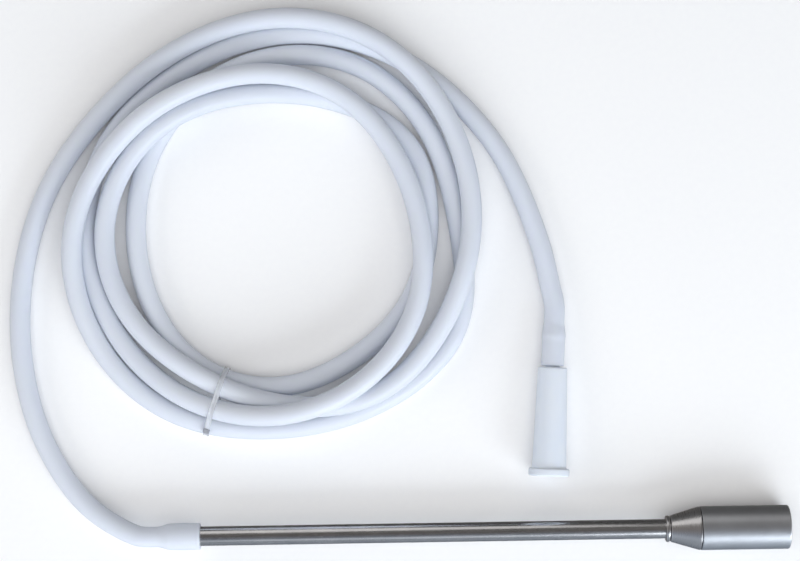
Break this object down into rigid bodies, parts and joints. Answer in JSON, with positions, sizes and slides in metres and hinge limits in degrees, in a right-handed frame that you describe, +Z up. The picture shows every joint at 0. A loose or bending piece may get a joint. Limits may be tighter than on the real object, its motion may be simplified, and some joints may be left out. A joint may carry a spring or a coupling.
{
  "type": "suction wand with hose",
  "caption": "Reusable steel suction wand with a screwed-on strainer head, on a tied coil of white silicone hose that ends in a flanged push-fit connector.",
  "frame": {"origin": "on the surface that the wand lies on, under the middle of the wand", "axes": "+X along the wand towards its head, +Y towards the coiled hose, +Z up"},
  "size_m": [0.3031, 0.2148, 0.0208],
  "materials": {
    "polished_steel": "turned and polished, with fine marks along the tube",
    "blasted_steel": "matte, finely blasted",
    "white_silicone": "satin, slightly translucent",
    "milky_plastic": "moulded, milky and slightly glossy",
    "clear_plastic": "clear, glossy",
    "seal_rubber": "matte black"
  },
  "bodies": {
    "wand": {"wand_tube": "polished_steel", "neck_collar": "polished_steel", "head_cone": "polished_steel", "hose_cuff": "white_silicone", "hose_lead": "white_silicone", "hose_coil": "white_silicone", "hose_tail": "white_silicone", "hose_end": "white_silicone", "connector_body": "milky_plastic", "tie_strap": "clear_plastic", "tie_lock": "clear_plastic"},
    "washer": {"barrel_washer": "seal_rubber"},
    "barrel": {"head_barrel": "blasted_steel", "strainer_screen": "polished_steel", "strainer_ring": "polished_steel"}
  },
  "joints": [
    {"name": "barrel_travel", "type": "slide", "parent": "wand", "child": "washer", "axis": [1, 0, 0], "range_m": [0, 0.0075]},
    {"name": "barrel_turn", "type": "hinge", "parent": "washer", "child": "barrel", "pos_m": [0.0864, 0, 0.0085], "axis": [1, 0, 0], "range_deg": [0, 1800]}
  ],
  "couplings": [
    {"joint": "barrel_travel", "follows": "barrel_turn", "m_per_rad": 0.00023873}
  ]
}
